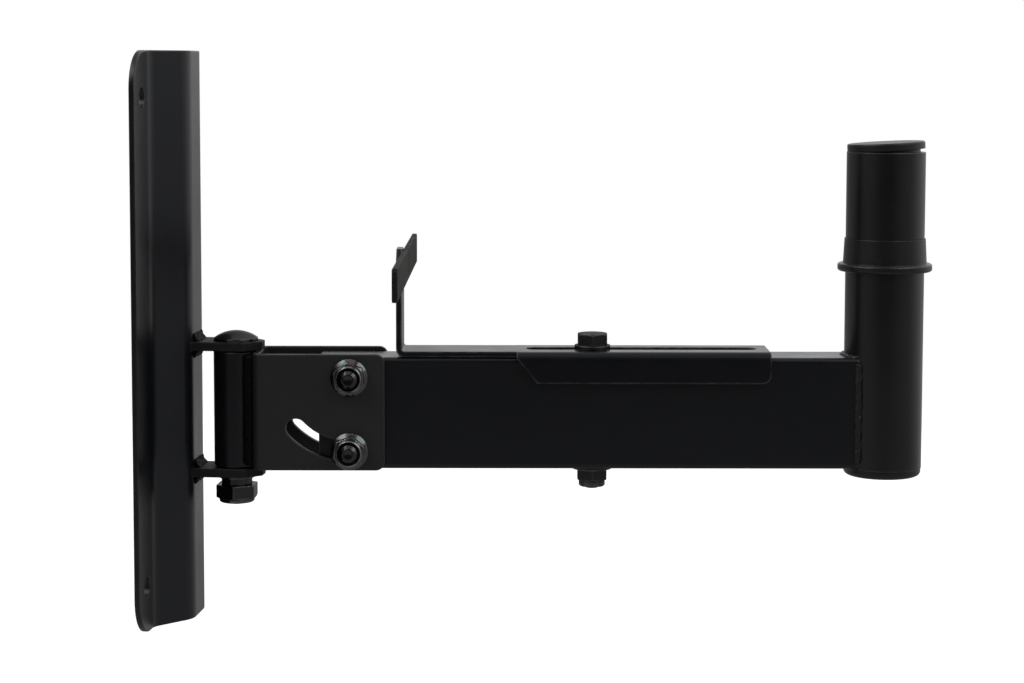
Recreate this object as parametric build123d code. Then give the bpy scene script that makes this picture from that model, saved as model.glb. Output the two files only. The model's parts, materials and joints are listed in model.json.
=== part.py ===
from build123d import *
import os
from math import cos, radians, sin, sqrt, tan

# Speaker wall bracket: a folded wall plate carries a hinge, a tilting knuckle and an arm with a pole.
# The wall is the plane X = 0, with the plate's centre at the origin and +Z up.
# The knuckle, arm and stop are drawn about the hinge axis with the arm along +X, then swung into place.
# All sizes are in millimetres and degrees.

# Fits between pieces
running_gap = 0.06          # radial, between a pin and the bore that turns on it
loose_gap = 0.25            # radial, between a bolt and a drilled hole
side_gap = 0.3              # between plates and saddle and the arm's sides
face_gap = 0.1              # between faces that slide on each other
stack_gap = 0.3             # at each end of the hinge barrel

# Wall plate
plate_height = 255.0
plate_sheet = 2.5
front_width = 22.0          # between the virtual corners of the front face
wall_run = 16.0             # sideways run of each sloping wall
flange_width = 23.0
hat_depth = 16.5            # wall to the face of the front
plate_bend = 8.0            # inside radius of all four bends
sheet_edge = 0.5            # rounding of the cut edges of sheet
flange_corner = 17.0
wall_hole_bore = 9.0
wall_hole_edge = 12.0       # hole centre to the flange's outer edge
wall_hole_end = 20.5        # hole centre to the plate's end

# Hinge
hinge_reach = 17.6          # front face to hinge axis
arm_level = 33.5            # plate centre down to the arm's centre line
hinge_lift = 0.8            # arm's centre line up to the hinge's middle
swing_at_rest = 6.0         # the arm is stored swung this far to one side
ear_sheet = 4.0
ear_width = 20.0
ear_nose = 12.6             # hinge axis to the ear's nose
ear_chamfer = 7.0
ear_opening = 53.0          # clear height between the ears
ear_weld_rise = 5.0         # bead's leg along the plate
ear_weld_run = 2.8          # bead's leg along the ear
ear_weld_throat = 0.38      # hollow face of a bead, as a share of its legs
ear_weld_length = 15.0
barrel_radius = 10.0
barrel_chamfer = 0.6

# Hinge bolt and its stack
hinge_bolt_bore = 10.0      # shank diameter
hinge_neck = 10.3           # side of the square neck
hinge_head_radius = 9.9
hinge_head_rim = 1.2
hinge_head_height = 4.5
spacer_radius = 6.9
spacer_height = 4.2
spacer_flange_radius = 7.9
spacer_flange = 1.2
hinge_nut_flats = 17.0
hinge_nut_hex = 6.2
hinge_nut_height = 8.0
hinge_nut_turn = 28.0       # hexagon's turn about the bolt
hinge_bolt_end = 0.8
bolt_end = 1.5              # bolt standing out past a nut
bolt_chamfer = 1.3
bolt_cup = 0.5              # radius of the hollow in a bolt's end, as a share of the shank's
bolt_cup_depth = 0.3

# Tilt bracket
bracket_sheet = 3.0
bracket_height = 52.0
bracket_reach = 67.7        # hinge axis to the plates' free ends
bracket_bend = 1.2
bracket_corner = 4.0
barrel_seat = 1.2           # depth of the groove in the web that the barrel sits in
barrel_weld_radius = 3.0
barrel_weld_inset = 1.6     # bracket's web back to the bead's axis
tilt_bolt_bore = 8.0        # shank diameter of the bolts through the arm
tilt_bolt_spacing = 33.0
tilt_bolt_reach = 52.0      # hinge axis to both tilt bolts
slot_width = 9.0
slot_sweep = 46.0

# Heads and nuts of the bolts through the arm
nut_flats = 13.0
flange_radius = 8.4
flange_rim = 0.8            # upright edge of a flange
flange_cone = 2.4           # height at which the flange's cone meets the hexagon
flange_nut_hex = 5.2
flange_nut_height = 7.2
bolt_head_height = 6.2
hex_bevel = 30.0            # slope of the turned-off corners
nut_collar_inset = 0.6      # hexagon's flats in to the rolled collar
nut_collar_wall = 0.7
nut_collar_lip = 0.5
nut_ring_drop = 0.8         # collar's top down to the plastic ring
pivot_nut_turn = 38.0       # each hexagon's turn about its bolt
lock_nut_turn = 20.0

# Arm
arm_height = 50.0
arm_width = 25.0
arm_wall = 2.0
arm_corner = 2.2
arm_inside_corner = 1.2
arm_rear = 38.2             # hinge axis to the arm's open rear end

# Pole and its fittings
pole_reach = 291.5          # hinge axis to the pole's axis
pole_radius = 17.5
pole_wall = 2.0
pole_rise = 116.5           # arm's centre line to the pole's top
pole_tail = 0.5             # arm's underside to the pole's foot
pole_weld_radius = 1.9
pole_weld_back = 0.5        # arm's coped corner back to the bead's axis
pole_weld_over = 1.5        # bead radius above and below the arm
pole_weld_out = 0.6         # pole's face out to that bead's axis
cap_radius = 17.25
cap_rim = 3.3
cap_crown = 0.8             # rounding of the cap's edges
cap_lean = 3.0              # the cap sits crooked by this angle
plug_rim = 3.7
plug_crown = 2.2
plug_stub = 12.0            # length of a plug inside the tube
plug_core_radius = 12.8
plug_neck = 3.0             # full part of a plug under its head
plug_neck_radius = 15.1
plug_fin_radius = 14.6
plug_fin = 1.2
plug_fin_pitch = 3.6
plug_fins = 3
collar_seat = 63.1          # arm's centre line to the underside of the collar
collar_flange_radius = 21.0
collar_flange_height = 3.5
collar_height = 14.7
collar_root_radius = 18.6
collar_lip_radius = 18.0
collar_edge = 1.1
collar_groove = 0.2         # depth of the seat turned in the pole under the collar

# Sliding stop
stop_sheet = 2.6
stop_bend = 1.2
saddle_start = 126.3        # hinge axis to the saddle's near end, along the arm's top
saddle_end = 239.5
saddle_drop = 11.3          # arm's top down to the flaps' lower edge
saddle_slant = 9.2          # the flaps' sloping lead-in
saddle_corner = 4.0
tongue_width = 24.0
upright_reach = 72.6        # hinge axis to the upright's rear face
upright_height = 48.0       # arm's top to the upright's top
upright_chamfer = 6.0
stop_slot_start = 130.3
stop_slot_end = 234.4
stop_slot_width = 9.0
bar_length = 192.0
bar_height = 14.0
bar_sheet = 2.4
bar_drop = 0.7              # upright's top down to the bar's top
bar_chamfer = 1.2

# Clamp bolt of the stop
slide_bolt_reach = 160.4    # hinge axis to the clamp bolt
slide_bolt_bore = 8.0
slide_head_height = 5.3
washer_radius = 8.0
nut_washer_radius = 8.9
washer_height = 1.6
slide_nut_hex = 5.2
slide_nut_height = 8.0
slide_bolt_end = 0.8
slide_hex_turn = 30.0       # turn of the head and the nut about the bolt

# Places that follow from the sizes
hinge_axis = hat_depth + hinge_reach
flat_end = front_width / 2 + wall_run
plate_width = 2 * (flat_end + flange_width)
ear_middle = ear_opening / 2 + ear_sheet / 2
barrel_height = ear_opening - 2 * stack_gap
web_face = barrel_radius - barrel_seat
gap_half = arm_width / 2 + side_gap
plate_face = gap_half + bracket_sheet
pivot_rise = tilt_bolt_spacing / 2
arm_top = arm_height / 2
tongue_seat = arm_top + face_gap
tongue_top = tongue_seat + stop_sheet
pole_foot = arm_top + pole_tail


def upright_cylinder(radius, height, x=0.0, y=0.0, base=0.0):
    """A cylinder along Z that stands on the height called base."""
    stock = Cylinder(radius, height, align=(Align.CENTER, Align.CENTER, Align.MIN))
    return Pos(x, y, base) * stock


def turned_points(*points):
    """A solid turned about Z from straight lines between (radius, height) points."""
    outline = Polyline(*points, close=True)
    return revolve(Plane.XZ * make_face(outline), Axis.Z)


def hexagon(flats, height):
    """A hexagonal block on Z = 0 with its corners turned off at the far end."""
    corner = flats / sqrt(3)
    slope = (corner - flats / 2) * tan(radians(hex_bevel))
    block = extrude(RegularPolygon(flats / 2, 6, major_radius=False), height)
    turning = turned_points((0, 0), (corner, 0), (corner, height - slope), (flats / 2, height), (0, height))
    return block & turning


def drilled_along_y(bore, x, z):
    """A drill through the whole piece along Y."""
    return Pos(x, 0, z) * Rot(90, 0, 0) * Cylinder(bore / 2, 4 * plate_face)


def flange_skirt(flats):
    """The conical flange under a hexagon, on Z = 0."""
    return turned_points(
        (0, 0),
        (flange_radius, 0),
        (flange_radius, flange_rim),
        (flats / 2, flange_cone),
        (0, flange_cone),
    )


def lock_nut(bore, flats, hex_height, height, flanged=False):
    """A nut on Z = 0 with a rolled collar, and the plastic ring that the collar holds."""
    collar_radius = flats / 2 - nut_collar_inset
    ring_radius = collar_radius - nut_collar_wall
    shoulder = height - nut_collar_lip
    body = hexagon(flats, hex_height)
    body = body + turned_points(
        (0, 0),
        (collar_radius, 0),
        (collar_radius, shoulder),
        (collar_radius - nut_collar_lip, height),
        (0, height),
    )
    if flanged:
        body = body + flange_skirt(flats)
    ring_base = hex_height + nut_collar_lip
    seat = upright_cylinder(ring_radius, height - ring_base, base=ring_base)
    ring = upright_cylinder(ring_radius, height - nut_ring_drop - ring_base, base=ring_base)
    shank = upright_cylinder(bore / 2, height)
    return body - seat - shank, ring - shank


def threaded_rod(bore, length):
    """A bolt's shank down from Z = 0 with its end chamfered."""
    radius = bore / 2
    return turned_points(
        (0, 0),
        (radius, 0),
        (radius, -length + bolt_chamfer),
        (radius - bolt_chamfer, -length),
        (radius * bolt_cup, -length),
        (0, -length + bolt_cup_depth),
    )


def hex_bolt(bore, flats, head_height, length, flanged=False):
    """A bolt whose head stands on Z = 0 and whose shank goes down."""
    head = hexagon(flats, head_height)
    if flanged:
        head = head + flange_skirt(flats)
    return head + threaded_rod(bore, length)


def washer(bore, radius):
    """A plain washer on Z = 0."""
    ring = upright_cylinder(radius, washer_height)
    return ring - upright_cylinder(bore / 2 + loose_gap, washer_height)


def ear_blank(x_tail, width):
    """An ear's outline: straight sides and a nose with two chamfers, about the hinge axis."""
    half = width / 2
    nose_half = half - ear_chamfer
    shoulder = ear_nose - ear_chamfer
    return make_face(
        Polyline(
            (x_tail, -half),
            (shoulder, -half),
            (ear_nose, -nose_half),
            (ear_nose, nose_half),
            (shoulder, half),
            (x_tail, half),
            close=True,
        )
    )


def make_wall_plate():
    """The hat-section sheet with rounded flange corners, wall holes and slots for the ears."""
    half = plate_width / 2
    face = FilletPolyline(
        (plate_sheet, -half),
        (plate_sheet, -flat_end),
        (hat_depth, -front_width / 2),
        (hat_depth, front_width / 2),
        (plate_sheet, flat_end),
        (plate_sheet, half),
        radius=[plate_bend, plate_bend + plate_sheet, plate_bend + plate_sheet, plate_bend],
    )
    section = make_face(offset(face, plate_sheet, side=Side.LEFT).edges())
    plate = Pos(0, 0, -plate_height / 2) * extrude(section, plate_height)
    outline = Plane.YZ * RectangleRounded(plate_width, plate_height, flange_corner)
    plate = plate & extrude(outline, hat_depth)
    straight = plate_height / 2 - flange_corner
    rim = plate.edges().filter_by(Axis.X, reverse=True).filter_by(
        lambda edge: abs((edge @ 0.5).Z) > straight + sheet_edge or abs((edge @ 0.5).Y) > half - sheet_edge
    )
    plate = fillet(rim, sheet_edge)
    hole_y = half - wall_hole_edge
    hole_z = plate_height / 2 - wall_hole_end
    for y in (-hole_y, hole_y):
        for z in (-hole_z, hole_z):
            plate = plate - Pos(0, y, z) * Rot(0, 90, 0) * Cylinder(wall_hole_bore / 2, 4 * plate_sheet)
    slot = Box(4 * plate_sheet, ear_width + 2 * face_gap, ear_sheet + 2 * face_gap)
    for z in (-ear_middle, ear_middle):
        plate = plate - Pos(hat_depth, 0, z + hinge_lift - arm_level) * slot
    return plate


def make_ear(middle, square):
    """One ear, tenoned through the plate's front face; the upper one has a square hole."""
    tail = -hinge_reach - plate_sheet
    ear = Pos(0, 0, middle - ear_sheet / 2) * extrude(ear_blank(tail, ear_width), ear_sheet)
    rim = ear.edges().filter_by(Axis.Z, reverse=True).filter_by(lambda edge: (edge @ 0.5).X > tail + ear_sheet)
    ear = fillet(rim, sheet_edge)
    if square:
        side = hinge_neck + 2 * face_gap
        return ear - Pos(0, 0, middle) * Box(side, side, 2 * ear_sheet)
    return ear - Pos(0, 0, middle) * Cylinder(hinge_bolt_bore / 2 + face_gap, 2 * ear_sheet)


def make_ear_weld():
    """Fillet beads above and below each ear where it leaves the plate."""
    middle_of_face = (ear_weld_throat * ear_weld_run, ear_weld_throat * ear_weld_rise)
    corner = Polyline((0, ear_weld_rise), (0, 0), (ear_weld_run, 0))
    hollow = ThreePointArc((ear_weld_run, 0), middle_of_face, (0, ear_weld_rise))
    section = make_face(corner.edges() + hollow.edges())
    bead = extrude(Plane.XZ * section, ear_weld_length / 2, both=True)
    beads = []
    for middle in (-ear_middle, ear_middle):
        beads.append(Pos(-hinge_reach, 0, middle + ear_sheet / 2) * bead)
        beads.append(Pos(-hinge_reach, 0, middle - ear_sheet / 2) * Rot(180, 0, 0) * bead)
    return beads


def make_hinge_bolt():
    """A round-headed bolt with a square neck in the upper ear."""
    seat = ear_middle + ear_sheet / 2
    foot = ear_middle + ear_sheet / 2 + spacer_height + hinge_nut_height + hinge_bolt_end
    dome = hinge_head_height - hinge_head_rim
    dome_radius = (hinge_head_radius ** 2 + dome ** 2) / (2 * dome)
    disc = upright_cylinder(hinge_head_radius, hinge_head_height)
    head = disc & Pos(0, 0, hinge_head_height - dome_radius) * Sphere(dome_radius)
    neck = Box(hinge_neck, hinge_neck, ear_sheet, align=(Align.CENTER, Align.CENTER, Align.MAX))
    bolt = head + neck + threaded_rod(hinge_bolt_bore, seat + foot)
    return Pos(0, 0, seat) * bolt


def make_hinge_stack():
    """The spacer, nut and plastic ring under the lower ear."""
    seat = -ear_middle - ear_sheet / 2
    bore = hinge_bolt_bore
    spacer = upright_cylinder(spacer_radius, spacer_height)
    spacer = spacer + upright_cylinder(spacer_flange_radius, spacer_flange, base=spacer_height - spacer_flange)
    spacer = spacer - upright_cylinder(bore / 2 + loose_gap, spacer_height)
    spacer = Pos(0, 0, seat - spacer_height) * spacer
    nut, ring = lock_nut(bore, hinge_nut_flats, hinge_nut_hex, hinge_nut_height)
    under = Pos(0, 0, seat - spacer_height) * Rot(180, 0, 0) * Rot(0, 0, hinge_nut_turn)
    return spacer, under * nut, under * ring


def make_barrel():
    """The sleeve that turns on the hinge bolt."""
    sleeve = Cylinder(barrel_radius, barrel_height)
    sleeve = chamfer(sleeve.edges().filter_by(GeomType.CIRCLE), barrel_chamfer)
    return sleeve - Cylinder(hinge_bolt_bore / 2 + running_gap, barrel_height)


def arc_slot(pivot_height):
    """The slot that the lock bolt travels in, swept about the pivot and drawn in the XZ plane."""
    stations = []
    for angle in (0.0, slot_sweep / 2, slot_sweep):
        back = tilt_bolt_spacing * sin(radians(angle))
        down = tilt_bolt_spacing * cos(radians(angle))
        stations.append((tilt_bolt_reach - back, pivot_height - down))
    return SlotArc(ThreePointArc(*stations), slot_width)


def make_tilt_bracket():
    """The U-shaped bracket: a web against the barrel and two plates along the arm."""
    web = web_face + bracket_sheet
    free = bracket_reach
    inner = FilletPolyline(
        (free, -gap_half),
        (web, -gap_half),
        (web, gap_half),
        (free, gap_half),
        radius=bracket_bend,
    )
    section = make_face(offset(inner, bracket_sheet, side=Side.LEFT).edges())
    bracket = Pos(0, 0, -bracket_height / 2) * extrude(section, bracket_height)
    ends = bracket.edges().filter_by(Axis.Y).group_by(Axis.X)[-1]
    bracket = fillet(ends, bracket_corner)
    straight = bracket_height / 2 - bracket_corner
    rim = bracket.edges().filter_by(Axis.Y, reverse=True).filter_by(
        lambda edge: abs((edge @ 0.5).Z) > straight or (edge @ 0.5).X > free - bracket_corner
    )
    bracket = fillet(rim, sheet_edge)
    pivot_height = pivot_rise - hinge_lift
    bracket = bracket - drilled_along_y(tilt_bolt_bore + 2 * loose_gap, tilt_bolt_reach, pivot_height)
    slot = extrude(Plane.XZ * arc_slot(pivot_height), 2 * plate_face, both=True)
    return bracket - slot - Cylinder(barrel_radius, 2 * bracket_height)


def make_barrel_weld():
    """Beads down both sides of the barrel where it meets the bracket's web."""
    x = web_face - barrel_weld_inset
    y = sqrt(barrel_radius ** 2 - x ** 2) + barrel_weld_inset
    bead = Cylinder(barrel_weld_radius, barrel_height - barrel_weld_radius)
    bead = fillet(bead.edges().filter_by(GeomType.CIRCLE), barrel_weld_radius / 2)
    behind_web = Box(web_face, 2 * plate_face, barrel_height, align=(Align.MIN, Align.CENTER, Align.CENTER))
    room = behind_web - Cylinder(barrel_radius, barrel_height)
    return [Pos(x, side * y, 0) * bead & room for side in (-1, 1)]


def through_bolt_set(x, z, nut_turn):
    """A flange bolt from the far side of the bracket, its nut on the near side and the nut's ring."""
    seat = plate_face + face_gap
    length = 2 * seat + flange_nut_height + bolt_end
    far = Pos(x, seat, z) * Rot(-90, 0, 0)
    near = Pos(x, -seat, z) * Rot(90, 0, 0) * Rot(0, 0, nut_turn)
    bolt = hex_bolt(tilt_bolt_bore, nut_flats, bolt_head_height, length, flanged=True)
    nut, ring = lock_nut(tilt_bolt_bore, nut_flats, flange_nut_hex, flange_nut_height, flanged=True)
    return far * bolt, near * nut, near * ring


def pole_cylinder(radius, low, high):
    """A cylinder on the pole's axis between two heights."""
    return upright_cylinder(radius, high - low, x=pole_reach, base=low)


def make_arm_tube():
    """The rectangular tube, open at the rear and coped round the pole, drilled for its bolts."""
    outer = RectangleRounded(arm_width, arm_height, arm_corner)
    inner = RectangleRounded(arm_width - 2 * arm_wall, arm_height - 2 * arm_wall, arm_inside_corner)
    length = pole_reach - arm_rear
    tube = Pos(arm_rear, 0, 0) * extrude(Plane.YZ * (outer - inner), length)
    tube = tube - pole_cylinder(pole_radius, -arm_height, arm_height)
    tube = tube - drilled_along_y(tilt_bolt_bore + 2 * running_gap, tilt_bolt_reach, pivot_rise)
    tube = tube - drilled_along_y(tilt_bolt_bore + 2 * loose_gap, tilt_bolt_reach, pivot_rise - tilt_bolt_spacing)
    return tube - upright_cylinder(slide_bolt_bore / 2 + loose_gap, 2 * arm_height, slide_bolt_reach, 0, -arm_height)


def make_pole_tube():
    """The round tube that a speaker stands on, turned down a little where the collar sits."""
    tube = pole_cylinder(pole_radius, -pole_foot, pole_rise)
    seat_top = collar_seat + collar_height
    groove = pole_cylinder(2 * pole_radius, collar_seat + collar_edge, seat_top)
    groove = groove - pole_cylinder(pole_radius - collar_groove, collar_seat, seat_top)
    return tube - groove - pole_cylinder(pole_radius - pole_wall, -pole_foot, pole_rise)


def make_pole_weld():
    """Beads round the arm's end: two upright runs and a curved run above and below."""
    cope = sqrt(pole_radius ** 2 - (arm_width / 2) ** 2)
    x = pole_reach - cope - pole_weld_back
    run = Cylinder(pole_weld_radius, arm_height - 2 * arm_corner)
    bead = Pos(x, -arm_width / 2, 0) * run + Pos(x, arm_width / 2, 0) * run
    across = Box(pole_reach, arm_width, 2 * arm_height, align=(Align.MIN, Align.CENTER, Align.CENTER))
    for height in (-arm_height / 2, arm_height / 2):
        ring = Pos(pole_reach, 0, height) * Torus(pole_radius + pole_weld_out, pole_weld_over)
        bead = bead + (ring & across)
    core = Plane.YZ * RectangleRounded(arm_width, arm_height, arm_corner)
    bead = bead - extrude(core, pole_reach)
    return bead - pole_cylinder(pole_radius, -arm_height, arm_height)


def make_plug(rim, crown, lean):
    """A moulded tube plug on Z = 0: a round head above and a finned stub below."""
    head = upright_cylinder(cap_radius, rim)
    head = fillet(head.edges().group_by(Axis.Z)[-1], crown)
    stub = upright_cylinder(plug_core_radius, plug_stub, base=-plug_stub)
    plug = head + stub + upright_cylinder(plug_neck_radius, plug_neck, base=-plug_neck)
    for step in range(plug_fins):
        base = -plug_fin_pitch * (step + 1)
        plug = plug + upright_cylinder(plug_fin_radius, plug_fin, base=base)
    lift = cap_radius * sin(radians(lean))
    return Pos(0, 0, lift) * Rot(0, -lean, 0) * plug


def make_top_cap():
    """The cap on the pole's top, leaning so that its outer side stands off the tube."""
    return Pos(pole_reach, 0, pole_rise) * make_plug(cap_rim, cap_crown, cap_lean)


def make_bottom_plug():
    """The plug in the pole's foot."""
    return Pos(pole_reach, 0, -pole_foot) * Rot(180, 0, 0) * make_plug(plug_rim, plug_crown, 0.0)


def make_collar():
    """The moulded ring that a speaker's socket rests on: a flange and a tapered sleeve."""
    bore = pole_radius + face_gap
    ring = turned_points(
        (bore, 0),
        (collar_flange_radius, 0),
        (collar_flange_radius, collar_flange_height),
        (collar_root_radius, collar_flange_height),
        (collar_lip_radius, collar_height),
        (bore, collar_height),
    )
    rims = ring.edges().filter_by(GeomType.CIRCLE).filter_by(
        lambda rim: abs(rim.radius - collar_flange_radius) < 0.01
    )
    return Pos(pole_reach, 0, collar_seat) * fillet(rims, collar_edge)


def make_stop_slider():
    """One folded sheet: a saddle on the arm with a slot, a tongue and an upright."""
    half = arm_width / 2 + side_gap
    low = arm_top - saddle_drop
    inner = FilletPolyline(
        (-half, low),
        (-half, tongue_seat),
        (half, tongue_seat),
        (half, low),
        radius=stop_bend,
    )
    section = make_face(offset(inner, stop_sheet, side=Side.LEFT).edges())
    saddle = Pos(saddle_start, 0, 0) * extrude(Plane.YZ * section, saddle_end - saddle_start)
    saddle_top = tongue_top
    flap = make_face(
        Polyline(
            (saddle_start, saddle_top),
            (saddle_end, saddle_top),
            (saddle_end, low),
            (saddle_start + saddle_slant, low),
            (saddle_start, arm_top),
            close=True,
        )
    )
    corner = flap.vertices().sort_by(lambda v: v.X - v.Y)[-1]
    flap = fillet(corner, saddle_corner)
    saddle = saddle & extrude(Plane.XZ * flap, 2 * plate_face, both=True)
    bend_low = saddle_top - stop_bend - stop_sheet
    rim = saddle.edges().filter_by(
        lambda edge: abs((edge @ 0.5).Y) > half + stop_sheet - sheet_edge and (edge @ 0.5).Z < bend_low - sheet_edge
    )
    saddle = fillet(rim, sheet_edge)
    top = arm_top + upright_height
    fold = FilletPolyline(
        (saddle_start, tongue_seat),
        (upright_reach, tongue_seat),
        (upright_reach, top),
        radius=stop_bend + stop_sheet,
    )
    strip = make_face(offset(fold, stop_sheet, side=Side.RIGHT).edges())
    strip = extrude(Plane.XZ * strip, tongue_width / 2, both=True)
    rim = strip.edges().filter_by(Axis.Y, reverse=True).filter_by(
        lambda edge: (edge @ 0.5).X < saddle_start - sheet_edge and (edge @ 0.5).Z < top - sheet_edge
    )
    strip = fillet(rim, sheet_edge)
    side = tongue_width / 2
    front = make_face(
        Polyline(
            (-side, 0),
            (side, 0),
            (side, top - upright_chamfer),
            (side - upright_chamfer, top),
            (upright_chamfer - side, top),
            (-side, top - upright_chamfer),
            close=True,
        )
    )
    strip = strip & extrude(Plane.YZ * front, saddle_start)
    slot_length = stop_slot_end - stop_slot_start
    slot = extrude(SlotOverall(slot_length, stop_slot_width), arm_height)
    slot = Pos((stop_slot_start + stop_slot_end) / 2, 0, 0) * slot
    return saddle + strip - slot


def make_stop_bar():
    """The flat cross bar on the upright's front face."""
    x = upright_reach + stop_sheet
    z = arm_top + upright_height - bar_drop - bar_height / 2
    bar = Pos(x + bar_sheet / 2, 0, z) * Box(bar_sheet, bar_length, bar_height)
    bar = chamfer(bar.edges().filter_by(Axis.X), bar_chamfer)
    return fillet(bar.edges().filter_by(Axis.X, reverse=True), sheet_edge)


def make_slide_clamp():
    """The clamp bolt through saddle and arm, with its washers, nut and ring."""
    top = tongue_top + face_gap
    under = -arm_height / 2
    seat = top + washer_height
    nut_seat = under - washer_height
    at = Pos(slide_bolt_reach, 0, 0) * Rot(0, 0, slide_hex_turn)
    length = seat - nut_seat + slide_nut_height + slide_bolt_end
    bolt = at * Pos(0, 0, seat) * hex_bolt(slide_bolt_bore, nut_flats, slide_head_height, length)
    head_washer = at * Pos(0, 0, top) * washer(slide_bolt_bore, washer_radius)
    nut_washer = at * Pos(0, 0, nut_seat) * washer(slide_bolt_bore, nut_washer_radius)
    nut, ring = lock_nut(slide_bolt_bore, nut_flats, slide_nut_hex, slide_nut_height)
    turn = at * Pos(0, 0, nut_seat) * Rot(180, 0, 0)
    return bolt, head_washer, nut_washer, turn * nut, turn * ring


def all_pieces():
    """Every piece by name, in its place."""
    spacer, hinge_nut, hinge_ring = make_hinge_stack()
    pivot_bolt, pivot_nut, pivot_ring = through_bolt_set(tilt_bolt_reach, pivot_rise, pivot_nut_turn)
    lock_rise = pivot_rise - tilt_bolt_spacing
    lock_bolt, lock_nut_body, lock_ring = through_bolt_set(tilt_bolt_reach, lock_rise, lock_nut_turn)
    slide_bolt, head_washer, nut_washer, slide_nut, slide_ring = make_slide_clamp()
    on_hinge = Pos(hinge_axis, 0, hinge_lift - arm_level)
    on_knuckle = on_hinge * Rot(0, 0, swing_at_rest)
    on_arm = Pos(hinge_axis, 0, -arm_level) * Rot(0, 0, swing_at_rest)
    return {
        "wall_plate": make_wall_plate(),
        "upper_ear": on_hinge * make_ear(ear_middle, True),
        "lower_ear": on_hinge * make_ear(-ear_middle, False),
        "ear_weld": on_hinge * Compound(children=make_ear_weld()),
        "hinge_bolt": on_hinge * make_hinge_bolt(),
        "hinge_spacer": on_hinge * spacer,
        "hinge_nut": on_hinge * hinge_nut,
        "hinge_nut_insert": on_hinge * hinge_ring,
        "hinge_barrel": on_knuckle * make_barrel(),
        "tilt_bracket": on_knuckle * make_tilt_bracket(),
        "barrel_weld": on_knuckle * Compound(children=make_barrel_weld()),
        "pivot_bolt": on_arm * pivot_bolt,
        "pivot_nut": on_arm * pivot_nut,
        "pivot_nut_insert": on_arm * pivot_ring,
        "arm_tube": on_arm * make_arm_tube(),
        "pole_tube": on_arm * make_pole_tube(),
        "pole_weld": on_arm * make_pole_weld(),
        "top_cap": on_arm * make_top_cap(),
        "bottom_plug": on_arm * make_bottom_plug(),
        "collar": on_arm * make_collar(),
        "lock_bolt": on_arm * lock_bolt,
        "lock_nut": on_arm * lock_nut_body,
        "lock_nut_insert": on_arm * lock_ring,
        "slide_bolt": on_arm * slide_bolt,
        "slide_head_washer": on_arm * head_washer,
        "slide_nut_washer": on_arm * nut_washer,
        "slide_nut": on_arm * slide_nut,
        "slide_nut_insert": on_arm * slide_ring,
        "stop_slider": on_arm * make_stop_slider(),
        "stop_bar": on_arm * make_stop_bar(),
    }


os.makedirs("parts", exist_ok=True)
for name, shape in all_pieces().items():
    export_step(shape, f"parts/{name}.step")
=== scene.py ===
import json
import math

import bmesh
import bpy
from mathutils import Matrix, Vector


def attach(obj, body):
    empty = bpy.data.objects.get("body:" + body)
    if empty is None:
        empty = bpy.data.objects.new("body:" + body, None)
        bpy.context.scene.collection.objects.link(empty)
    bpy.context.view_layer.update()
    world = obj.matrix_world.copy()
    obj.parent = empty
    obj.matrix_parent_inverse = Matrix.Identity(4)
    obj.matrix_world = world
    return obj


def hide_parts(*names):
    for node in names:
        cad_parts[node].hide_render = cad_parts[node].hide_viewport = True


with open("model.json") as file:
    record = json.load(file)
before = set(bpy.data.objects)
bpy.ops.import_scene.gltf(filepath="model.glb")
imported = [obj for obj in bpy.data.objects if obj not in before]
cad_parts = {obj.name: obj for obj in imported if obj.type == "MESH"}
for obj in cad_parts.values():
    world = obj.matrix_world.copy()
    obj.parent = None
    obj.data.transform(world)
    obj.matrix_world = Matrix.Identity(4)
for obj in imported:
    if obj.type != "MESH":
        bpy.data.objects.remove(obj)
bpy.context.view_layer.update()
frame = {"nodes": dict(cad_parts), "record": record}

SCENE = bpy.context.scene
NODES = frame["nodes"]
MILLIMETRES = 1000          # in a metre

# Camera, in millimetres and degrees in the part's own frame
CAMERA_PLACE = (256.99, -953.64, 119.15)
CAMERA_YAW = 5.880
CAMERA_PITCH = 4.450        # downwards
CAMERA_ROLL = -0.098
CAMERA_LENS = 76.406
CAMERA_SENSOR = 36.0
CAMERA_SHIFT = -0.10        # as a share of the picture's width
CAMERA_REACH = 50.0         # metres

# Solids whose finish differs from their slot's usual one
OWN_FINISH = {
    "pivot_nut": "bright_zinc",
    "lock_nut": "bright_zinc",
    "tilt_bracket": "matt_coat",
    "upper_ear": "flat_coat",
    "lower_ear": "flat_coat",
    "arm_tube": "arm_coat",
    "stop_bar": "dull_coat",
    "stop_slider": "edged_coat",
    "pole_tube": "pole_coat",
    "top_cap": "matt_plastic",
    "slide_bolt": "dull_zinc",
    "slide_nut": "dull_zinc",
    "slide_head_washer": "dull_zinc",
    "slide_nut_washer": "dull_zinc",
}

# Patterns of the finishes: how fine each one is, and sizes in metres
CLOUD_SCALE = 45.0
GRAIN_SCALE = 1500.0
RUB_SCALE = 160.0
RIPPLE_SCALE = 700.0
PLAY_SCALE = 220.0
EDGE_ROUND = 0.0006         # radius that the shading of sharp edges is rounded to
WEAR_AND_HIGHLIGHT_REACH = 0.0009         # how far from an edge the coat is rubbed and painted lighter as an edge highlight
THIN_SPAN = (0.92, 0.62)    # openness of the solid behind a face, from a flat one to a rubbed edge with its painted highlight
RUB_SPAN = (0.30, 0.58)     # part of the rub pattern that goes from none to full; it breaks up both the wear and the painted edge highlight
CLOUD_SPAN = (0.3, 0.7)     # part of a noise pattern that most of a surface shows
PLAY_SPAN = (0.35, 0.65)
NONE_TO_FULL = (0.0, 1.0)

# Weld beads: the body that carries each, its finish, and the share of its size that it keeps on each axis
WELDS = {
    "ear_weld": ("wall", "coated_weld", (1.0, 1.0, 1.0)),
    "barrel_weld": ("knuckle", "coated_weld", (1.0, 1.0, 1.0)),
    "pole_weld": ("arm", "clean_weld", (0.955, 0.955, 0.98)),
}
WELD_LUMPS = ((0.0026, 0.0009), (0.0010, 0.0003))   # width and height of each kind of lump
WELD_SKIN = 0.00035         # grain of the bead's new skin
WELD_MERGE = 0.00002        # corners closer than this are one

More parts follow.
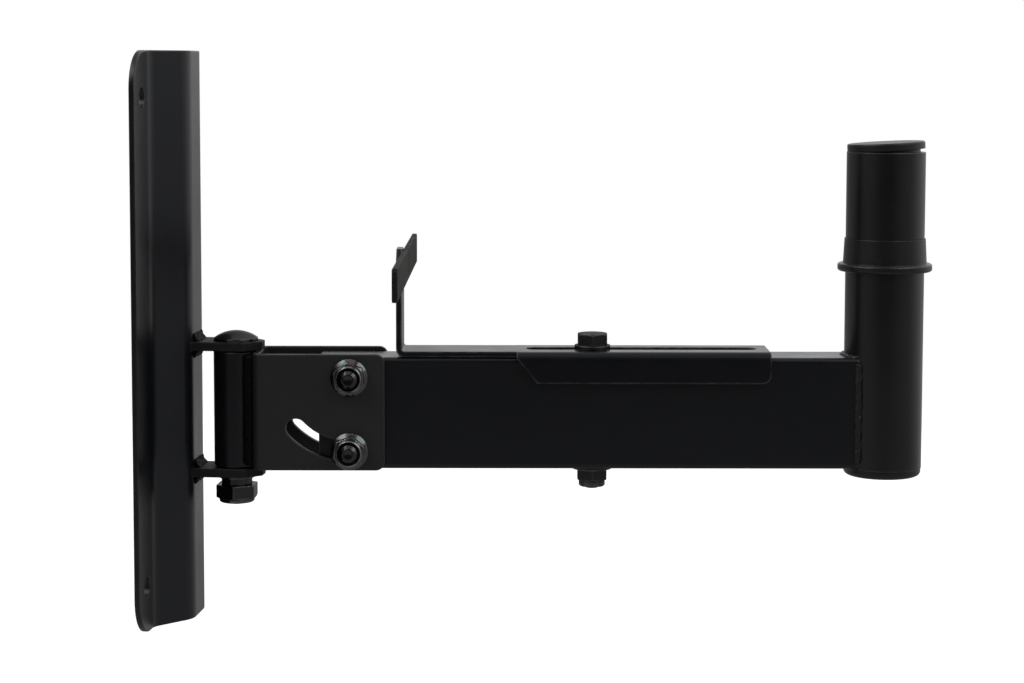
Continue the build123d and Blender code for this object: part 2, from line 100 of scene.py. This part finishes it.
# Floor, in metres
FLOOR_LEVEL = -0.30
FLOOR_SIZE = 3.2
FLOOR_MIDDLE = 0.17         # under the middle of the arm
FLOOR_COLOUR = (0.4, 0.4, 0.4, 1)
FLOOR_BEHIND = (0.2, 1.2)   # behind the part, where mirrored floor starts to glow and glows fully
FLOOR_GLOW = 0.3
FLOOR_NEAR = (0.15, 0.55)   # distance from the plate's middle, over which the painted shade under the part ends
# the floor's glow is lowered under the part: a painted shade there
FLOOR_PAINTED_SHADE_GLOW = (-0.30, 0.0)
FLOOR_FAR = (0.55, 1.3)     # distance over which the floor turns white
FLOOR_FAR_GLOW = (0.85, 0.99)

# Studio around the part: each spread goes from where a light starts to where it is full
BACKDROP_AIM = (0.5, 0.866, 0.0)
BACKDROP_SPREAD = (0.2, 1.0)
BACKDROP_RISE = (-0.05, 0.15)
BACKDROP_FOOT = 0.25        # share of the backdrop's light that is left below
BACKDROP_LIGHT = 0.8
SIDES_SPREAD = (0.3, 0.95)
FRONT_LIGHT = 0.05
SIDE_LIGHT = 0.25
OVERHEAD_SPREAD = (0.70, 0.95)
OVERHEAD_LIGHT = 0.55
WHITE = (1, 1, 1, 1)

# Soft boxes: place in metres and power in watts
BOX_AIM = (0.17, 0.0, -0.03)
BOX_SIZE = (1.1, 0.8)
SOFT_BOXES = {
    "left_box": ((-0.60, -0.48, 0.90), 6.5),
    "right_box": ((1.05, -0.48, 0.80), 4.8),
}


def place_camera():
    """Sets the camera up at the photograph's view."""
    data = bpy.data.cameras.new("camera")
    data.sensor_width = CAMERA_SENSOR
    data.lens = CAMERA_LENS
    data.shift_y = CAMERA_SHIFT
    data.clip_end = CAMERA_REACH
    camera = bpy.data.objects.new("camera", data)
    SCENE.collection.objects.link(camera)
    camera.location = Vector(CAMERA_PLACE) / MILLIMETRES
    turns = (90 - CAMERA_PITCH, CAMERA_ROLL, CAMERA_YAW)
    camera.rotation_euler = [math.radians(turn) for turn in turns]
    SCENE.camera = camera


def new_material(name):
    """An empty node material: returns it with its nodes, links and principled shader."""
    material = bpy.data.materials.new(name)
    material.use_nodes = True
    nodes = material.node_tree.nodes
    links = material.node_tree.links
    return material, nodes, links, nodes["Principled BSDF"]


def add_noise(nodes, links, vector, detail, roughness):
    """A noise texture on the given coordinates; its scale is still to be set or linked."""
    noise = nodes.new("ShaderNodeTexNoise")
    noise.inputs["Detail"].default_value = detail
    noise.inputs["Roughness"].default_value = roughness
    links.new(vector, noise.inputs["Vector"])
    return noise


def add_pattern(nodes, links, vector, scale, detail=2.0, roughness=0.5):
    """The values of a noise texture of one scale."""
    noise = add_noise(nodes, links, vector, detail, roughness)
    noise.inputs["Scale"].default_value = scale
    return noise.outputs["Fac"]


def add_range(nodes, links, value, span, result):
    """Maps a value from one span of numbers to another."""
    ramp = nodes.new("ShaderNodeMapRange")
    ramp.inputs["From Min"].default_value, ramp.inputs["From Max"].default_value = span
    ramp.inputs["To Min"].default_value, ramp.inputs["To Max"].default_value = result
    links.new(value, ramp.inputs["Value"])
    return ramp.outputs["Result"]


def add_blend(nodes, links, value, first, second):
    """A colour between two, by a value."""
    mix = nodes.new("ShaderNodeMix")
    mix.data_type = "RGBA"
    mix.inputs["A"].default_value = (*first, 1)
    mix.inputs["B"].default_value = (*second, 1)
    links.new(value, mix.inputs["Factor"])
    return mix.outputs["Result"]


def add_math(nodes, links, operation, first, second=None):
    """A math node on one or two sockets."""
    node = nodes.new("ShaderNodeMath")
    node.operation = operation
    links.new(first, node.inputs[0])
    if second:
        links.new(second, node.inputs[1])
    return node.outputs["Value"]


def finish_group():
    """Shared surface effects: a soft cloud, a fine grain, rounded edges and a mask along them for wear
    and a painted edge highlight.
    """
    group = bpy.data.node_groups.new("surface_marks", "ShaderNodeTree")
    for name in ("Edge Round", "Wear And Highlight Reach", "Grain Scale"):
        group.interface.new_socket(name, in_out="INPUT", socket_type="NodeSocketFloat")
    for name in ("Cloud", "Grain", "Edge"):
        group.interface.new_socket(name, in_out="OUTPUT", socket_type="NodeSocketFloat")
    group.interface.new_socket("Normal", in_out="OUTPUT", socket_type="NodeSocketVector")
    nodes = group.nodes
    links = group.links
    given = nodes.new("NodeGroupInput").outputs
    output = nodes.new("NodeGroupOutput").inputs
    place = nodes.new("ShaderNodeTexCoord").outputs["Object"]
    rounded = nodes.new("ShaderNodeBevel")
    rounded.samples = 6
    links.new(given["Edge Round"], rounded.inputs["Radius"])
    links.new(rounded.outputs["Normal"], output["Normal"])
    open_inside = nodes.new("ShaderNodeAmbientOcclusion")
    open_inside.inside = True
    open_inside.only_local = True
    open_inside.samples = 8
    links.new(given["Wear And Highlight Reach"], open_inside.inputs["Distance"])
    # edge mask: rubbed coat and a painted highlight along the edges, broken up by the rub pattern
    thin = add_range(nodes, links, open_inside.outputs["AO"], THIN_SPAN, NONE_TO_FULL)
    rub = add_pattern(nodes, links, place, RUB_SCALE, detail=4.0, roughness=0.6)
    wear_and_highlight = add_range(nodes, links, rub, RUB_SPAN, NONE_TO_FULL)
    links.new(add_math(nodes, links, "MULTIPLY", thin, wear_and_highlight), output["Edge"])
    cloud = add_pattern(nodes, links, place, CLOUD_SCALE, detail=3.0, roughness=0.55)
    links.new(cloud, output["Cloud"])
    grain = add_noise(nodes, links, place, detail=2.0, roughness=0.5)
    links.new(given["Grain Scale"], grain.inputs["Scale"])
    links.new(grain.outputs["Fac"], output["Grain"])
    return group


def add_marks(nodes, group):
    """The shared effects in a material."""
    marks = nodes.new("ShaderNodeGroup")
    marks.node_tree = group
    marks.inputs["Edge Round"].default_value = EDGE_ROUND
    marks.inputs["Wear And Highlight Reach"].default_value = WEAR_AND_HIGHLIGHT_REACH
    marks.inputs["Grain Scale"].default_value = GRAIN_SCALE
    return marks.outputs


def add_bump(nodes, links, shader, height, normal, strength, distance):
    """Relief on the shader from a height, over a normal."""
    bump = nodes.new("ShaderNodeBump")
    bump.inputs["Strength"].default_value = strength
    bump.inputs["Distance"].default_value = distance
    links.new(height, bump.inputs["Height"])
    links.new(normal, bump.inputs["Normal"])
    links.new(bump.outputs["Normal"], shader.inputs["Normal"])


def coat_material(group, name, body, wear_and_highlight, tint, rough, gloss):
    """Black powder coat with orange peel, slightly greyed along its edges, partly as rubbed coat and
    partly as a painted edge highlight.
    """
    material, nodes, links, shader = new_material(name)
    marks = add_marks(nodes, group)
    # the edge colour is rubbed coat and a painted highlight along the edges
    links.new(add_blend(nodes, links, marks["Edge"], body, wear_and_highlight), shader.inputs["Base Color"])
    links.new(add_range(nodes, links, marks["Cloud"], CLOUD_SPAN, rough), shader.inputs["Roughness"])
    shader.inputs["Specular IOR Level"].default_value = gloss
    shader.inputs["Specular Tint"].default_value = (*tint, 1)
    add_bump(nodes, links, shader, marks["Grain"], marks["Normal"], strength=0.08, distance=0.0002)
    return material


def weld_material(group, name, dark, light, rough, gloss):
    """Powder coat over a rough weld bead."""
    material, nodes, links, shader = new_material(name)
    marks = add_marks(nodes, group)
    place = nodes.new("ShaderNodeTexCoord").outputs["Object"]
    ripple = add_pattern(nodes, links, place, RIPPLE_SCALE, detail=3.0, roughness=0.6)
    links.new(add_blend(nodes, links, ripple, dark, light), shader.inputs["Base Color"])
    links.new(add_range(nodes, links, marks["Cloud"], CLOUD_SPAN, rough), shader.inputs["Roughness"])
    shader.inputs["Specular IOR Level"].default_value = gloss
    add_bump(nodes, links, shader, ripple, marks["Normal"], strength=0.35, distance=0.0005)
    return material


def zinc_material(group, name, warm, cool, bare_and_highlight, glare, rough):
    """Glossy zinc plate with a faint play of colour, thin on its edges, where the lighter colour is
    partly bare metal and partly a painted edge highlight.
    """
    material, nodes, links, shader = new_material(name)
    marks = add_marks(nodes, group)
    place = nodes.new("ShaderNodeTexCoord").outputs["Object"]
    pattern = add_pattern(nodes, links, place, PLAY_SCALE)
    play = add_range(nodes, links, pattern, PLAY_SPAN, NONE_TO_FULL)
    thin = nodes.new("ShaderNodeMix")
    thin.data_type = "RGBA"
    # lighter on the edges: thin plating and a painted edge highlight
    thin.inputs["B"].default_value = (*bare_and_highlight, 1)
    links.new(marks["Edge"], thin.inputs["Factor"])
    links.new(add_blend(nodes, links, play, warm, cool), thin.inputs["A"])
    links.new(thin.outputs["Result"], shader.inputs["Base Color"])
    shader.inputs["Metallic"].default_value = 1.0
    shader.inputs["Specular Tint"].default_value = (glare, glare, glare, 1)
    links.new(add_range(nodes, links, marks["Cloud"], CLOUD_SPAN, rough), shader.inputs["Roughness"])
    add_bump(nodes, links, shader, marks["Grain"], marks["Normal"], strength=0.03, distance=0.0001)
    return material


def plastic_material(group, name, dark, light, rough, gloss):
    """Moulded black plastic with a fine grain."""
    material, nodes, links, shader = new_material(name)
    marks = add_marks(nodes, group)
    links.new(add_blend(nodes, links, marks["Cloud"], dark, light), shader.inputs["Base Color"])
    links.new(add_range(nodes, links, marks["Grain"], CLOUD_SPAN, rough), shader.inputs["Roughness"])
    shader.inputs["Specular IOR Level"].default_value = gloss
    add_bump(nodes, links, shader, marks["Grain"], marks["Normal"], strength=0.18, distance=0.0002)
    return material


def coat_finishes(group):
    """The powder coats, from the plate's satin black to the stop bar's dull one."""
    cool = (0.93, 0.94, 1.0)
    plain = (1.0, 1.0, 1.0)
    # each coat's second colour goes along its edges: rubbed coat and a painted edge highlight
    satin = {"body": (0.0055, 0.0060, 0.0070), "wear_and_highlight": (0.042, 0.0425, 0.0435), "tint": cool}
    # the stop slider's edge colour is far lighter than rubbed coat, mostly a painted highlight along its
    # rounded edges
    edged = {"body": (0.0045, 0.0048, 0.0056), "wear_and_highlight": (0.17, 0.171, 0.176), "tint": cool}
    pole = {"body": (0.0030, 0.0030, 0.0031), "wear_and_highlight": (0.042, 0.042, 0.042), "tint": plain}
    matt = {"body": (0.0180, 0.0177, 0.0175), "wear_and_highlight": (0.055, 0.055, 0.055), "tint": cool}
    dull = {"body": (0.0180, 0.0166, 0.0154), "wear_and_highlight": (0.046, 0.044, 0.042), "tint": plain}
    return {
        "black_coat": coat_material(group, "satin_black_coat", **satin, rough=(0.27, 0.34), gloss=0.5),
        "arm_coat": coat_material(group, "arm_black_coat", **satin, rough=(0.27, 0.34), gloss=0.42),
        "edged_coat": coat_material(group, "black_coat_with_painted_edge_highlight", **edged, rough=(0.27, 0.34), gloss=0.30),
        "pole_coat": coat_material(group, "plain_black_coat", **pole, rough=(0.26, 0.33), gloss=0.62),
        "matt_coat": coat_material(group, "matt_black_coat", **matt, rough=(0.44, 0.56), gloss=0.5),
        "flat_coat": coat_material(group, "flat_black_coat", **matt, rough=(0.54, 0.66), gloss=0.2),
        "dull_coat": coat_material(group, "dull_black_coat", **dull, rough=(0.60, 0.72), gloss=0.08),
    }


def weld_finishes(group):
    """The coats on the weld beads."""
    lean = {"dark": (0.0045, 0.0046, 0.0050), "light": (0.009, 0.009, 0.0092)}
    # the ear and barrel beads are near black, darker than the coat around them
    near_black = {"dark": (0.0014, 0.0014, 0.0015), "light": (0.005, 0.005, 0.0051)}
    return {
        "coated_weld": weld_material(group, "coated_weld_bead", **near_black, rough=(0.60, 0.74), gloss=0.12),
        "clean_weld": weld_material(group, "clean_weld_bead", **lean, rough=(0.36, 0.48), gloss=0.5),
    }


def zinc_finishes(group):
    """The plating on bolts, nuts and washers."""
    dark = {
        "warm": (0.072, 0.066, 0.065),
        "cool": (0.058, 0.066, 0.069),
        "bare_and_highlight": (0.20, 0.19, 0.185),
        "glare": 0.5,
    }
    dull = {
        "warm": (0.052, 0.050, 0.048),
        "cool": (0.044, 0.046, 0.047),
        "bare_and_highlight": (0.16, 0.155, 0.15),
        "glare": 0.4,
    }
    smoky = {
        "warm": (0.150, 0.110, 0.112),
        "cool": (0.095, 0.128, 0.135),
        "bare_and_highlight": (0.34, 0.32, 0.31),
        "glare": 1.0,
    }
    return {
        "black_zinc": zinc_material(group, "black_zinc_plate", **dark, rough=(0.13, 0.21)),
        "dull_zinc": zinc_material(group, "dull_zinc_plate", **dull, rough=(0.32, 0.42)),
        "bright_zinc": zinc_material(group, "smoky_zinc_plate", **smoky, rough=(0.13, 0.21)),
    }


def plastic_finishes(group):
    """The plastics of the collar, the plugs and the rings in the nuts."""
    black = {"dark": (0.0055, 0.0057, 0.006), "light": (0.0085, 0.0087, 0.009)}
    # the rings' black is the nylon's own, made darker still as painted shade in the nut's recess
    nylon_and_recess_shade = {"dark": (0.0008, 0.0008, 0.0009), "light": (0.0014, 0.0014, 0.0015)}
    moulded = plastic_material(group, "moulded_black_plastic", **black, rough=(0.28, 0.40), gloss=0.5)
    matt = plastic_material(group, "matt_black_plastic", **black, rough=(0.36, 0.46), gloss=0.5)
    nylon = plastic_material(group, "black_nylon", **nylon_and_recess_shade, rough=(0.28, 0.40), gloss=0.12)
    return {"black_plastic": moulded, "matt_plastic": matt, "nylon": nylon}


def all_finishes():
    """A material for each of the record's slots, and one for each finish of the solids named above."""
    group = finish_group()
    finishes = {}
    for kind in (coat_finishes, weld_finishes, zinc_finishes, plastic_finishes):
        finishes.update(kind(group))
    return finishes


def dress_nodes(finishes):
    """Gives every solid its finish by the record's material slots."""
    for row in frame["record"]["subparts"]:
        name = OWN_FINISH.get(row["node"], row["material_slot"])
        for slot in NODES[row["node"]].material_slots:
            slot.material = finishes[name]


def lay_weld(node, body, material, drawn):
    """A lumpy bead in the place of a plain one, drawn in about its middle to settle into the joint."""
    mesh = bpy.data.meshes.new(node + "_bead")
    shape = bmesh.new()
    shape.from_mesh(NODES[node].data)
    bmesh.ops.remove_doubles(shape, verts=shape.verts, dist=WELD_MERGE)
    corners = [Vector(corner) for corner in NODES[node].bound_box]
    middle = sum(corners, Vector()) / len(corners)
    bmesh.ops.scale(shape, verts=shape.verts, vec=drawn, space=Matrix.Translation(-middle))
    bmesh.ops.recalc_face_normals(shape, faces=shape.faces)
    shape.to_mesh(mesh)
    shape.free()
    mesh.materials.clear()
    mesh.materials.append(material)
    bead = bpy.data.objects.new(node + "_bead", mesh)
    SCENE.collection.objects.link(bead)
    skin = bead.modifiers.new("skin", "REMESH")
    skin.mode = "VOXEL"
    skin.voxel_size = WELD_SKIN
    skin.use_smooth_shade = True
    for width, height in WELD_LUMPS:
        lumps = bpy.data.textures.new(f"{node}_lumps_{width}", "CLOUDS")
        lumps.noise_scale = width
        lumps.noise_depth = 1
        swell = bead.modifiers.new(f"swell_{width}", "DISPLACE")
        swell.texture = lumps
        swell.texture_coords = "LOCAL"
        swell.strength = height
        swell.mid_level = 0.5
    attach(bead, body)
    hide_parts(node)


def add_level(nodes, links, share, first, second):
    """A number between two, by a share; either may be a socket."""
    mix = nodes.new("ShaderNodeMix")
    mix.data_type = "FLOAT"
    links.new(share, mix.inputs["Factor"])
    for name, value in (("A", first), ("B", second)):
        if isinstance(value, float):
            mix.inputs[name].default_value = value
        else:
            links.new(value, mix.inputs[name])
    return mix.outputs["Result"]


def add_mirrored(nodes, links):
    """One for rays that a gloss or a clear body sends on, and whether a ray is the camera's own."""
    path = nodes.new("ShaderNodeLightPath").outputs
    mirrored = add_math(nodes, links, "MAXIMUM", path["Is Glossy Ray"], path["Is Transmission Ray"])
    return mirrored, path["Is Camera Ray"]


def build_world():
    """White to the camera and behind the part, and a dim studio with an overhead glow elsewhere."""
    world = bpy.data.worlds.new("studio")
    world.use_nodes = True
    SCENE.world = world
    nodes = world.node_tree.nodes
    links = world.node_tree.links
    ray = nodes.new("ShaderNodeTexCoord").outputs["Generated"]
    facing = nodes.new("ShaderNodeVectorMath")
    facing.operation = "DOT_PRODUCT"
    facing.inputs[1].default_value = BACKDROP_AIM
    links.new(ray, facing.inputs[0])
    axes = nodes.new("ShaderNodeSeparateXYZ")
    links.new(ray, axes.inputs["Vector"])
    height = axes.outputs["Z"]
    behind = add_range(nodes, links, facing.outputs["Value"], BACKDROP_SPREAD, NONE_TO_FULL)
    above = add_range(nodes, links, height, BACKDROP_RISE, (BACKDROP_FOOT, 1.0))
    for fade in (behind, above):
        fade.node.interpolation_type = "SMOOTHSTEP"
    backdrop = add_math(nodes, links, "MULTIPLY", behind, above)
    sideways = add_math(nodes, links, "ABSOLUTE", axes.outputs["X"])
    sides = add_range(nodes, links, sideways, SIDES_SPREAD, (FRONT_LIGHT, SIDE_LIGHT))
    overhead = add_range(nodes, links, height, OVERHEAD_SPREAD, (0.0, OVERHEAD_LIGHT))
    room = add_math(nodes, links, "ADD", sides, overhead)
    studio = add_level(nodes, links, backdrop, room, BACKDROP_LIGHT)
    mirrored, seen = add_mirrored(nodes, links)
    mirrored_backdrop = add_math(nodes, links, "MULTIPLY", mirrored, backdrop)
    white = add_math(nodes, links, "MAXIMUM", seen, mirrored_backdrop)
    background = nodes["Background"]
    background.inputs["Color"].default_value = WHITE
    links.new(add_level(nodes, links, white, studio, 1.0), background.inputs["Strength"])


def floor_material():
    """A pale floor, white to the camera away from the part, where it keeps a faint shadow; under the part
    its glow is lowered, a painted shade.
    """
    material, nodes, links, shader = new_material("pale_floor")
    shader.inputs["Base Color"].default_value = FLOOR_COLOUR
    shader.inputs["Roughness"].default_value = 1.0
    shader.inputs["Specular IOR Level"].default_value = 0.0
    place = nodes.new("ShaderNodeTexCoord").outputs["Object"]
    away = nodes.new("ShaderNodeVectorMath")
    away.operation = "LENGTH"
    links.new(place, away.inputs[0])
    axes = nodes.new("ShaderNodeSeparateXYZ")
    links.new(place, axes.inputs["Vector"])
    mirrored, seen = add_mirrored(nodes, links)
    behind = add_range(nodes, links, axes.outputs["Y"], FLOOR_BEHIND, (0.0, FLOOR_GLOW))
    # the glow dips under the part: a painted shade
    painted_shade = add_range(nodes, links, away.outputs["Value"], FLOOR_NEAR, FLOOR_PAINTED_SHADE_GLOW)
    far = add_range(nodes, links, away.outputs["Value"], FLOOR_FAR, FLOOR_FAR_GLOW)
    plain = add_math(nodes, links, "ADD", painted_shade, far)
    mirror_glow = add_math(nodes, links, "MULTIPLY", mirrored, behind)
    glow = nodes.new("ShaderNodeEmission")
    links.new(add_level(nodes, links, seen, mirror_glow, plain), glow.inputs["Strength"])
    lit = nodes.new("ShaderNodeAddShader")
    links.new(glow.outputs["Emission"], lit.inputs[0])
    links.new(shader.outputs["BSDF"], lit.inputs[1])
    links.new(lit.outputs["Shader"], nodes["Material Output"].inputs["Surface"])
    return material


def build_floor():
    """The floor, well below the part."""
    mesh = bpy.data.meshes.new("floor")
    shape = bmesh.new()
    bmesh.ops.create_grid(shape, x_segments=1, y_segments=1, size=FLOOR_SIZE / 2)
    bmesh.ops.translate(shape, verts=shape.verts, vec=(FLOOR_MIDDLE, 0, FLOOR_LEVEL))
    shape.to_mesh(mesh)
    shape.free()
    floor = bpy.data.objects.new("floor", mesh)
    SCENE.collection.objects.link(floor)
    mesh.materials.append(floor_material())


def light_studio():
    """The soft boxes above, one on each side."""
    for name, (place, power) in SOFT_BOXES.items():
        data = bpy.data.lights.new(name, "AREA")
        data.shape = "RECTANGLE"
        data.size, data.size_y = BOX_SIZE
        data.energy = power
        lamp = bpy.data.objects.new(name, data)
        SCENE.collection.objects.link(lamp)
        lamp.location = place
        lamp.rotation_euler = (Vector(BOX_AIM) - Vector(place)).to_track_quat("-Z", "Y").to_euler()


place_camera()
finishes = all_finishes()
dress_nodes(finishes)
for node, (body, finish, drawn) in WELDS.items():
    lay_weld(node, body, finishes[finish], drawn)
build_world()
build_floor()
light_studio()

SCENE.view_settings.view_transform = "Standard"
